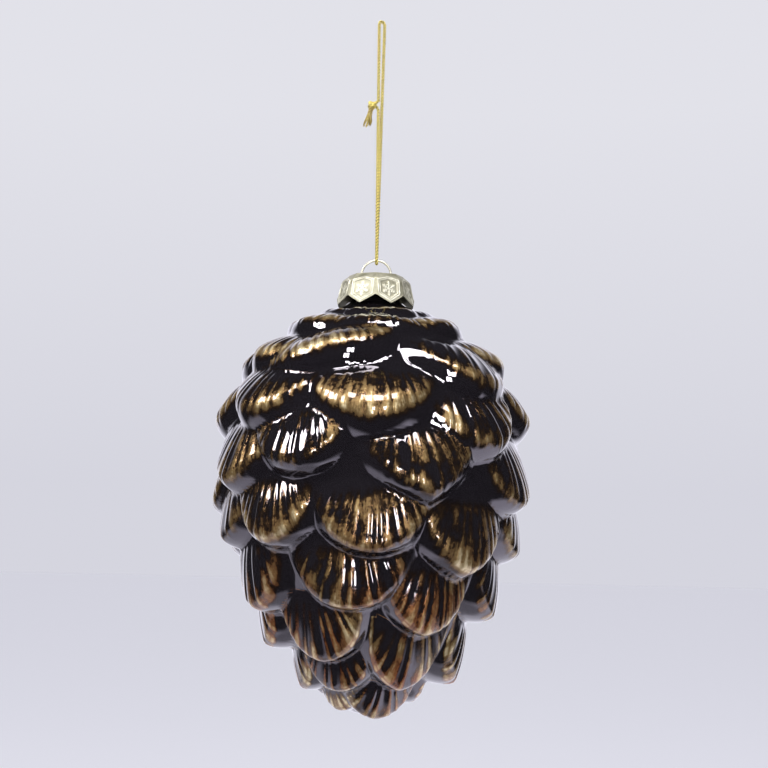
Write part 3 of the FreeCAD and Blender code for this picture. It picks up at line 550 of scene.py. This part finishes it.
def petal_relief(x, y):
    """Stamped pattern on a petal. x is across it and y is down it from the shoulder, millimetres."""
    # a double raised frame with six sides
    half = 3.55
    top, low_corner, point = 0.35, 5.1, 7.35
    slant = (point - low_corner) / half
    inner_edge = np.minimum.reduce([
        half - np.abs(x), (point - slant * np.abs(x) - y) / math.hypot(1, slant), y - top + 0.32 * (half - np.abs(x)) - 0.2])
    frame_ = np.exp(-((inner_edge - 0.22) / 0.17) ** 2) + 0.75 * np.exp(-((inner_edge - 0.78) / 0.15) ** 2)
    # a six-armed snow star in the middle
    cx, cy = x, y - 3.35
    r = np.hypot(cx, cy)
    star = np.zeros_like(r)
    for k in range(6):
        t = math.radians(60 * k)
        p, q = cx * math.sin(t) + cy * math.cos(t), cx * math.cos(t) - cy * math.sin(t)
        arm = np.exp(-(q / 0.17) ** 2) * (p > -0.05) * np.clip((2.35 - p) / 0.25, 0, 1)
        for at in (0.85, 1.5):
            along_ = (p - at) * math.cos(math.radians(55)) + np.abs(q) * math.sin(math.radians(55))
            away = (p - at) * math.sin(math.radians(55)) - np.abs(q) * math.cos(math.radians(55))
            arm = np.maximum(arm, 0.85 * np.exp(-(away / 0.15) ** 2) * (along_ > 0) * np.clip((0.95 - 0.18 * at - along_) / 0.2, 0, 1))
        star = np.maximum(star, arm)
    star = np.maximum(star, np.exp(-(r / 0.3) ** 2))
    inside_ = np.clip((inner_edge - 0.95) / 0.15, 0, 1)
    return np.maximum(np.minimum(frame_, 1.0), star * inside_), inside_


columns = 8 * PETAL
outer_rows, inner_rows, glint_marks = [], [], []
for j in range(STEPS + 1):
    ring_o, ring_i, mark = [], [], []
    for i in range(columns):
        part = (i % PETAL) / PETAL          # 0 at a notch, 0.5 at the petal's middle
        away = abs(part - 0.5) * 2          # 0 at the middle, 1 at the notch
        bottom = TIP_DROP - (TIP_DROP - NOTCH_DROP) * away
        drop = bottom * (j / STEPS)
        corner = float(profile(drop))
        apothem = corner * SIDE
        across_ = corner * math.sin(math.radians(22.5)) * (2 * part - 1)
        bump, inner_mark = petal_relief(np.array(across_), np.array(drop - 1.7))
        lift = 0.17 * float(bump) * min(1.0, max(0.0, (drop - 1.2) / 0.5)) - 0.05 * float(inner_mark)
        # the crease beside each notch is pressed in a little
        lift -= 0.22 * math.exp(-((1 - away) * 3.7 / 0.32) ** 2) * min(1.0, drop / 1.5)
        middle = math.radians(22.5 + 45 * (i // PETAL))
        along_v = np.array((math.cos(middle), math.sin(middle), 0))
        out_v = np.array((math.sin(middle), -math.cos(middle), 0))
        p = out_v * (apothem + lift) + along_v * across_ + np.array((0, 0, CAP_TOP - drop))
        inner_corner = corner - SHEET * 1.1
        q = out_v * (inner_corner * SIDE) + along_v * (inner_corner * math.sin(math.radians(22.5)) * (2 * part - 1))
        q = q + np.array((0, 0, CAP_TOP - max(drop, SHEET) + (0.06 if j == STEPS else 0)))
        ring_o.append(p)
        ring_i.append(q)
        # the stamped relief is kept at each point so that the finish can paint the raised lines lighter: a painted
        # highlight
        mark.append(float(bump))
    outer_rows.append(ring_o)
    inner_rows.append(ring_i)
    glint_marks.append(mark)
outer_rows, inner_rows = np.array(outer_rows), np.array(inner_rows)
verts = [outer_rows.reshape(-1, 3), inner_rows.reshape(-1, 3)]
values = [np.array(glint_marks).reshape(-1), np.zeros(inner_rows.shape[0] * columns)]
faces = []
base = (STEPS + 1) * columns
for j in range(STEPS):
    for i in range(columns):
        k = (i + 1) % columns
        a, b, c, d = j * columns + i, j * columns + k, (j + 1) * columns + k, (j + 1) * columns + i
        faces.append((a, d, c, b))
        faces.append((base + a, base + b, base + c, base + d))
for i in range(columns):
    k = (i + 1) % columns
    a = STEPS * columns
    faces.append((a + i, base + a + i, base + a + k, a + k))
# the disc, with its two holes for the wire: the same triangles above and below
HOLE, LEG = 0.45, 4.425
hole_n = 28
disc_rim = [(p[0], p[1]) for p in outer_rows[0]]
disc_low = [(p[0], p[1]) for p in inner_rows[0]]


def disc(rim):
    flat = [Vector(p) for p in rim]
    edges = [(i, (i + 1) % len(rim)) for i in range(len(rim))]
    for sx in (-1, 1):
        start = len(flat)
        for m in range(hole_n):
            t = 2 * math.pi * m / hole_n
            flat.append(Vector((sx * LEG + HOLE * math.cos(t), HOLE * math.sin(t))))
        edges += [(start + m, start + (m + 1) % hole_n) for m in range(hole_n)]
    for gx in range(-6, 7):
        for gy in range(-6, 7):
            x, y = gx * 1.1 + 0.03, gy * 1.1 + 0.02
            if math.hypot(x, y) < 6.6 and min(math.hypot(x - LEG, y), math.hypot(x + LEG, y)) > HOLE + 0.35:
                flat.append(Vector((x, y)))
    out_v, _, out_f = delaunay_2d_cdt(flat, edges, [list(range(len(rim)))], 1, 1e-5)[:3]
    kept = []
    for f in out_f:
        cx, cy = sum(out_v[i].x for i in f) / 3, sum(out_v[i].y for i in f) / 3
        if min(math.hypot(cx - LEG, cy), math.hypot(cx + LEG, cy)) > HOLE * 0.98:
            kept.append(tuple(f))
    return [(v.x, v.y) for v in out_v], kept


for rim, z, flip in ((disc_rim, CAP_TOP, False), (disc_low, CAP_TOP - SHEET, True)):
    flat, tri = disc(rim)
    dished = np.array([(x, y, z) for x, y in flat])
    start = sum(len(v) for v in verts)
    verts.append(dished)
    values.append(np.zeros(len(dished)))
    for f in tri:
        ax, ay = flat[f[0]]
        bx, by = flat[f[1]]
        cx, cy = flat[f[2]]
        turned_up = (bx - ax) * (cy - ay) - (by - ay) * (cx - ax) > 0
        f = f if turned_up != flip else f[::-1]
        faces.append(tuple(start + i for i in f))
for sx in (-1, 1):
    start = sum(len(v) for v in verts)
    ring = []
    for z in (CAP_TOP, CAP_TOP - SHEET):
        for m in range(hole_n):
            t = 2 * math.pi * m / hole_n
            ring.append((sx * LEG + HOLE * math.cos(t), HOLE * math.sin(t), z))
    verts.append(np.array(ring))
    values.append(np.zeros(len(ring)))
    for m in range(hole_n):
        k = (m + 1) % hole_n
        faces.append((start + m, start + k, start + hole_n + k, start + hole_n + m))
cap_piece = mesh_object("cap_crown", np.concatenate(verts) * MM, faces)
# the stamped relief, carried to the finish, where the raised frame and star are painted lighter as a painted highlight
attribute(cap_piece, "relief", np.concatenate(values))
# weld the disc, the walls and the hole rings, and keep the bends crisp
import bmesh
bm = bmesh.new()
bm.from_mesh(cap_piece.data)
bmesh.ops.remove_doubles(bm, verts=bm.verts, dist=2e-6)
bm.normal_update()
for edge in bm.edges:
    if len(edge.link_faces) == 2 and edge.calc_face_angle(0) > math.radians(38):
        edge.smooth = False
bm.to_mesh(cap_piece.data)
bm.free()
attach(cap_piece, "root")
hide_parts("cap")

# ------------------------------------------------------------------ wire: one round wire, bent
wire_points = []
for t in np.linspace(math.pi, 0, 41):
    wire_points.append((4.425 * math.cos(t), 0, -78.07 + 4.425 * math.sin(t)))


def leg(side_):
    x = side_ * 4.425
    pts = [(x, 0, -78.6), (x, 0, -79.6), (x, 0, -80.5)]
    for k in range(1, 8):
        t = k / 7.0
        blend = t * t * (3 - 2 * t)
        pts.append((x + side_ * 1.1 * blend, 0, -80.5 - 4.1 * t))
    pts += [(x + side_ * 1.1, 0, -85.6), (x + side_ * 1.1, 0, -87.97)]
    return pts


whole = leg(-1)[::-1] + wire_points + leg(1)
path, at = even(np.array(whole), 0.22)
verts, faces = tube(path * MM, 0.375 * MM, 14)
wire_piece = mesh_object("wire_loop", verts, faces)
attribute(wire_piece, "run", np.concatenate([np.repeat(at, 14), at[[0, -1]]]))
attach(wire_piece, "root")
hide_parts("hanger_wire")


# ------------------------------------------------------------------ materials
class Nodes:
    def __init__(self, name):
        self.material = bpy.data.materials.new(name)
        self.material.use_nodes = True
        self.tree = self.material.node_tree
        self.shader = self.tree.nodes["Principled BSDF"]

    def add(self, kind, **settings):
        node = self.tree.nodes.new(kind)
        for key, value in settings.items():
            setattr(node, key, value)
        return node

    def put(self, socket, value):
        if isinstance(value, bpy.types.NodeSocket):
            self.tree.links.new(value, socket)
        else:
            socket.default_value = value

    def attr(self, name):
        return self.add("ShaderNodeAttribute", attribute_name=name).outputs["Fac"]

    def math(self, operation, a, b=0.0, clamp=False):
        node = self.add("ShaderNodeMath", operation=operation, use_clamp=clamp)
        self.put(node.inputs[0], a)
        self.put(node.inputs[1], b)
        return node.outputs[0]

    def step(self, value, low, high, to_low=0.0, to_high=1.0):
        node = self.add("ShaderNodeMapRange", interpolation_type="SMOOTHSTEP")
        for socket, v in zip(node.inputs[:5], (value, low, high, to_low, to_high)):
            self.put(socket, v)
        return node.outputs["Result"]

    def mix(self, factor, a, b):
        node = self.add("ShaderNodeMix", data_type="RGBA")
        self.put(node.inputs[0], factor)
        self.put(node.inputs[6], a)
        self.put(node.inputs[7], b)
        return node.outputs[2]

    def vector(self, x, y, z):
        node = self.add("ShaderNodeCombineXYZ")
        for socket, v in zip(node.inputs, (x, y, z)):
            self.put(socket, v)
        return node.outputs[0]

    def noise(self, vector, scale, detail=3.0, rough=0.55, bend=0.0):
        node = self.add("ShaderNodeTexNoise", noise_dimensions="3D")
        self.put(node.inputs["Vector"], vector)
        self.put(node.inputs["Scale"], scale)
        self.put(node.inputs["Detail"], detail)
        self.put(node.inputs["Roughness"], rough)
        self.put(node.inputs["Distortion"], bend)
        return node.outputs["Fac"]

    def where(self):
        return self.add("ShaderNodeTexCoord").outputs["Object"]

    def ramp(self, value, stops):
        node = self.add("ShaderNodeValToRGB")
        self.put(node.inputs[0], value)
        points_ = node.color_ramp.elements
        while len(points_) < len(stops):
            points_.new(0.5)
        for element, (at_, colour) in zip(points_, stops):
            element.position = at_
            element.color = (*colour, 1.0)
        return node.outputs[0]

    def bump(self, height_, distance, strength):
        node = self.add("ShaderNodeBump")
        self.put(node.inputs["Height"], height_)
        node.inputs["Distance"].default_value = distance
        node.inputs["Strength"].default_value = strength
        return node.outputs[0]

    def set(self, **values_):
        for key, value in values_.items():
            self.put(self.shader.inputs[key.replace("_", " ")], value)


def glass_material():
    m = Nodes("antiqued_glass")
    across_, along_, rib_, face_, seed, low_, lip_ = (m.attr(n) for n in ("across", "along", "rib", "face", "seed", "low", "lip"))
    place_ = m.where()
    # streaks run along each scale; blotches and grain lie over them
    lengthwise = m.vector(m.math("MULTIPLY", across_, 0.55), m.math("MULTIPLY", along_, 0.085), m.math("MULTIPLY", seed, 60.0))
    streak = m.noise(lengthwise, 1.0, 4.0, 0.6)
    fine_run = m.vector(m.math("MULTIPLY", across_, 2.4), m.math("MULTIPLY", along_, 0.40), m.math("MULTIPLY", seed, 90.0))
    fine = m.noise(fine_run, 1.0, 3.0, 0.65)
    blotch = m.noise(place_, 85.0, 3.0, 0.6, 0.6)
    grain = m.noise(place_, 1100.0, 3.0, 0.65)
    down_ = m.step(low_, 0.50, 0.78)
    parts_ = [m.math("MULTIPLY", rib_, 0.26), m.step(streak, 0.28, 0.72, 0.0, 0.34),
              m.math("MULTIPLY", m.step(blotch, 0.32, 0.68), m.math("SUBTRACT", 0.52, m.math("MULTIPLY", down_, 0.14))),
              m.math("MULTIPLY", m.math("SUBTRACT", fine, 0.5), 0.50), m.math("MULTIPLY", m.math("SUBTRACT", grain, 0.5), 0.60),
              m.attr("kept")]
    # most of the gold sits on the ridge just above the lip
    parts_.append(m.math("MULTIPLY", m.math("MULTIPLY", m.step(lip_, 0.0, 2.6), m.step(lip_, 2.6, 8.5, 1.0, 0.0)), 0.36))
    # lower down it is left as thin lines along the ribs and a thin rim
    lines = m.math("SUBTRACT", m.step(rib_, 0.40, 0.98), 0.36)
    rim_ = m.math("MULTIPLY", m.step(lip_, -0.2, 0.8), m.step(lip_, 0.8, 3.0, 1.0, 0.0))
    parts_.append(m.math("MULTIPLY", down_, m.math("ADD", m.math("MULTIPLY", lines, 0.36), m.math("MULTIPLY", rim_, 0.46))))
    worn = parts_[0]
    for part in parts_[1:]:
        worn = m.math("ADD", worn, part)
    gold = m.math("MULTIPLY", m.step(worn, 0.36, 1.42), m.math("MAXIMUM", face_, m.math("MULTIPLY", rim_, down_)), True)
    dark = (0.094, 0.082, 0.098)
    bronze = m.ramp(gold, [(0.0, dark), (0.10, (0.070, 0.042, 0.028)), (0.36, (0.165, 0.095, 0.038)),
                           (0.70, (0.34, 0.230, 0.096)), (1.0, (0.84, 0.70, 0.43))])
    rust = m.ramp(gold, [(0.0, dark), (0.10, (0.072, 0.032, 0.021)), (0.36, (0.20, 0.060, 0.020)),
                         (0.70, (0.33, 0.130, 0.043)), (1.0, (0.62, 0.40, 0.18))])
    copper = m.math("MULTIPLY", m.step(low_, 0.40, 0.85), m.step(m.noise(place_, 60.0, 2.0), 0.36, 0.58), True)
    m.set(Base_Color=m.mix(copper, bronze, rust), Metallic=m.step(gold, 0.04, 0.45, 0.93, 0.80),
          Roughness=m.step(gold, 0.0, 0.5, 0.03, 0.37), Coat_Weight=1.0, Coat_Roughness=0.02, Coat_IOR=1.6,
          Normal=m.bump(m.math("MULTIPLY", gold, m.math("ADD", m.math("MULTIPLY", grain, 0.6), fine)), 0.00014, 0.6))
    m.shader.inputs["IOR"].default_value = 1.5
    return m.material


def cap_material():
    m = Nodes("champagne_cap")
    place_ = m.where()
    raised_glint = m.attr("relief")
    cloud = m.noise(place_, 420.0, 3.0, 0.6)
    grain = m.noise(place_, 2600.0, 2.0, 0.6)
    # raised frame and star painted lighter than the flat sheet: a painted highlight where the stamping catches light;
    # the cloud adds random tone
    base_ = m.ramp(m.math("ADD", m.math("MULTIPLY", raised_glint, 0.50), m.math("MULTIPLY", cloud, 0.60)),
                   [(0.18, (0.30, 0.285, 0.20)), (0.42, (0.50, 0.475, 0.36)), (0.80, (0.90, 0.88, 0.75))])
    m.set(Base_Color=base_, Metallic=0.66, Roughness=m.step(cloud, 0.3, 0.7, 0.44, 0.56),
          Normal=m.bump(m.math("ADD", grain, m.math("MULTIPLY", cloud, 0.6)), 0.00008, 0.5))
    return m.material


def wire_material():
    m = Nodes("bright_wire")
    run_ = m.attr("run")
    place_ = m.where()
    drawn = m.noise(m.vector(m.math("MULTIPLY", run_, 0.15), 0.0, 0.0), 1.0, 2.0)
    cloud = m.noise(place_, 1800.0, 2.0)
    m.set(Base_Color=m.ramp(cloud, [(0.3, (0.66, 0.62, 0.50)), (0.7, (0.86, 0.84, 0.74))]), Metallic=0.75,
          Roughness=m.step(drawn, 0.35, 0.65, 0.34, 0.44), Normal=m.bump(cloud, 0.00004, 0.4))
    return m.material


def cord_material(name, tint_low, tint_high):
    m = Nodes(name)
    run_ = m.attr("run")
    place_ = m.where()
    thread = m.add("ShaderNodeTexWave", wave_type="BANDS", bands_direction="X")
    m.put(thread.inputs["Vector"], m.vector(run_, 0.0, 0.0))
    m.put(thread.inputs["Scale"], 1.9)
    m.put(thread.inputs["Distortion"], 0.8)
    glint = m.noise(place_, 3800.0, 2.0, 0.7)
    value = m.math("ADD", m.math("MULTIPLY", thread.outputs["Fac"], 0.30), m.math("MULTIPLY", glint, 0.75))
    # the low points between the two plies are painted dark: painted shade in the grooves of the twist. On the frayed
    # tails this value is one random number for each thread, a random darker or lighter tone
    shade = m.step(m.attr("reach"), 0.42, 0.96)
    tint = m.ramp(value, [(0.25, tint_low), (0.75, tint_high)])
    m.set(Base_Color=m.mix(shade, (0.075, 0.045, 0.010, 1.0), tint), Metallic=0.72,
          Roughness=m.step(glint, 0.3, 0.7, 0.24, 0.46),
          Normal=m.bump(value, 0.00006, 0.7))
    return m.material


gold_cord = cord_material("gold_cord", (0.60, 0.46, 0.08), (1.0, 0.88, 0.31))
amber_cord = cord_material("amber_ends", (0.44, 0.30, 0.06), (0.94, 0.78, 0.28))
for piece, material in ((glass_piece, glass_material()), (cap_piece, cap_material()), (wire_piece, wire_material()),
                        (cord_piece, gold_cord), (knot_piece, gold_cord), (tail_piece, amber_cord)):
    piece.data.materials.clear()
    piece.data.materials.append(material)

# ------------------------------------------------------------------ floor, world, light
middle = (0, 0, -0.145)
PALE = (0.80, 0.80, 0.86, 1.0)
HORIZON = (0.70, 0.70, 0.775, 1.0)


def surroundings(tree, vector):
    """What a glossy surface sees: a pale studio below and behind, dark in front, at the sides and overhead."""
    split = tree.nodes.new("ShaderNodeSeparateXYZ")
    tree.links.new(vector, split.inputs[0])

    def ramp_(output_, low_, high_, least=0.0):
        part = tree.nodes.new("ShaderNodeMapRange")
        part.interpolation_type = "SMOOTHSTEP"
        tree.links.new(split.outputs[output_], part.inputs[0])
        for socket, value in zip(part.inputs[1:5], (low_, high_, least, 1.0)):
            socket.default_value = value
        return part.outputs[0]

    def join(operation, a, b):
        node = tree.nodes.new("ShaderNodeMath")
        node.operation = operation
        tree.links.new(a, node.inputs[0])
        tree.links.new(b, node.inputs[1])
        return node.outputs[0]

    below = join("MULTIPLY", ramp_(2, -0.35, -0.55), ramp_(1, -0.42, -0.22))
    below = join("MULTIPLY", below, ramp_(2, -0.985, -0.90, 0.42))
    below = join("MULTIPLY", below, ramp_(0, -0.75, 0.10, 0.66))
    behind = join("MULTIPLY", ramp_(1, 0.55, 0.88), ramp_(2, 0.75, 0.40))
    tone = tree.nodes.new("ShaderNodeValToRGB")
    tone.color_ramp.elements[0].color = (0.022, 0.021, 0.026, 1)
    tone.color_ramp.elements[1].color = (1.0, 0.99, 1.13, 1)
    tree.links.new(join("MAXIMUM", below, behind), tone.inputs[0])
    return tone.outputs[0]


floor = mesh_object("floor", [(-6, -6, -0.60), (6, -6, -0.60), (6, 6, -0.60), (-6, 6, -0.60)], [(0, 1, 2, 3)], False)
pale = bpy.data.materials.new("pale_floor")
pale.use_nodes = True
tree = pale.node_tree
tree.nodes["Principled BSDF"].inputs["Base Color"].default_value = (0.90, 0.90, 0.94, 1.0)
tree.nodes["Principled BSDF"].inputs["Roughness"].default_value = 0.9
spot = tree.nodes.new("ShaderNodeTexCoord")
offset = tree.nodes.new("ShaderNodeVectorMath")
offset.operation = "SUBTRACT"
offset.inputs[1].default_value = middle
tree.links.new(spot.outputs["Object"], offset.inputs[0])
unit = tree.nodes.new("ShaderNodeVectorMath")
unit.operation = "NORMALIZE"
tree.links.new(offset.outputs[0], unit.inputs[0])
mirror = tree.nodes.new("ShaderNodeEmission")
tree.links.new(surroundings(tree, unit.outputs[0]), mirror.inputs[0])
kind = tree.nodes.new("ShaderNodeLightPath")
either = tree.nodes.new("ShaderNodeMixShader")
tree.links.new(kind.outputs["Is Glossy Ray"], either.inputs[0])
tree.links.new(tree.nodes["Principled BSDF"].outputs[0], either.inputs[1])
tree.links.new(mirror.outputs[0], either.inputs[2])
tree.links.new(either.outputs[0], tree.nodes["Material Output"].inputs["Surface"])
floor.data.materials.append(pale)

world = bpy.data.worlds.new("studio")
bpy.context.scene.world = world
world.use_nodes = True
tree = world.node_tree
tree.nodes.clear()
output = tree.nodes.new("ShaderNodeOutputWorld")
seen = tree.nodes.new("ShaderNodeBackground")
level = tree.nodes.new("ShaderNodeTexCoord")
height_of = tree.nodes.new("ShaderNodeSeparateXYZ")
tree.links.new(level.outputs["Generated"], height_of.inputs[0])
wall = tree.nodes.new("ShaderNodeValToRGB")
wall.color_ramp.elements[0].color = HORIZON
wall.color_ramp.elements[0].position = 0.0
wall.color_ramp.elements[1].color = PALE
wall.color_ramp.elements[1].position = 0.28
tree.links.new(height_of.outputs["Z"], wall.inputs[0])
tree.links.new(wall.outputs[0], seen.inputs[0])
seen.inputs[1].default_value = 0.95
around_ = tree.nodes.new("ShaderNodeBackground")
coordinates = tree.nodes.new("ShaderNodeTexCoord")
tree.links.new(surroundings(tree, coordinates.outputs["Generated"]), around_.inputs[0])
path_kind = tree.nodes.new("ShaderNodeLightPath")
choose = tree.nodes.new("ShaderNodeMixShader")
tree.links.new(path_kind.outputs["Is Glossy Ray"], choose.inputs[0])
tree.links.new(seen.outputs[0], choose.inputs[1])
tree.links.new(around_.outputs[0], choose.inputs[2])
tree.links.new(choose.outputs[0], output.inputs[0])


def softbox(name, place_, aim, width, height_, power, colour=(1, 1, 1)):
    lamp = bpy.data.lights.new(name, "AREA")
    lamp.shape = "RECTANGLE"
    lamp.size, lamp.size_y = width, height_
    lamp.energy = power
    lamp.color = colour
    obj = bpy.data.objects.new(name, lamp)
    bpy.context.scene.collection.objects.link(obj)
    direction = Vector(aim) - Vector(place_)
    obj.matrix_world = Matrix.Translation(Vector(place_)) @ direction.to_track_quat("-Z", "Y").to_matrix().to_4x4()
    return obj


def window(name, azimuth, elevation, distance, width, height_, power, gap=0.16, colour=(1, 1, 1)):
    """Two tall panes side by side, as a pair of softboxes."""
    t, e = math.radians(azimuth), math.radians(elevation)
    centre = Vector((math.sin(t) * math.cos(e), -math.cos(t) * math.cos(e), math.sin(e))) * distance + Vector(middle)
    across_v = Vector((math.cos(t), math.sin(t), 0))
    for k in (-1, 1):
        softbox("%s_%s" % (name, "a" if k < 0 else "b"), centre + across_v * (k * width * (0.25 + gap / 4)), middle,
                width * (0.5 - gap / 2), height_, power / 2, colour)


window("left_window", -64, 33, 1.0, 0.26, 0.38, 5.5)
window("front_window", 11, 12, 1.1, 0.14, 0.28, 3.0)
window("low_window", 7, -5, 1.0, 0.10, 0.20, 1.5)
window("high_window", 4, 60, 0.85, 0.56, 0.30, 6.0)
bpy.context.scene.view_settings.view_transform = "Standard"
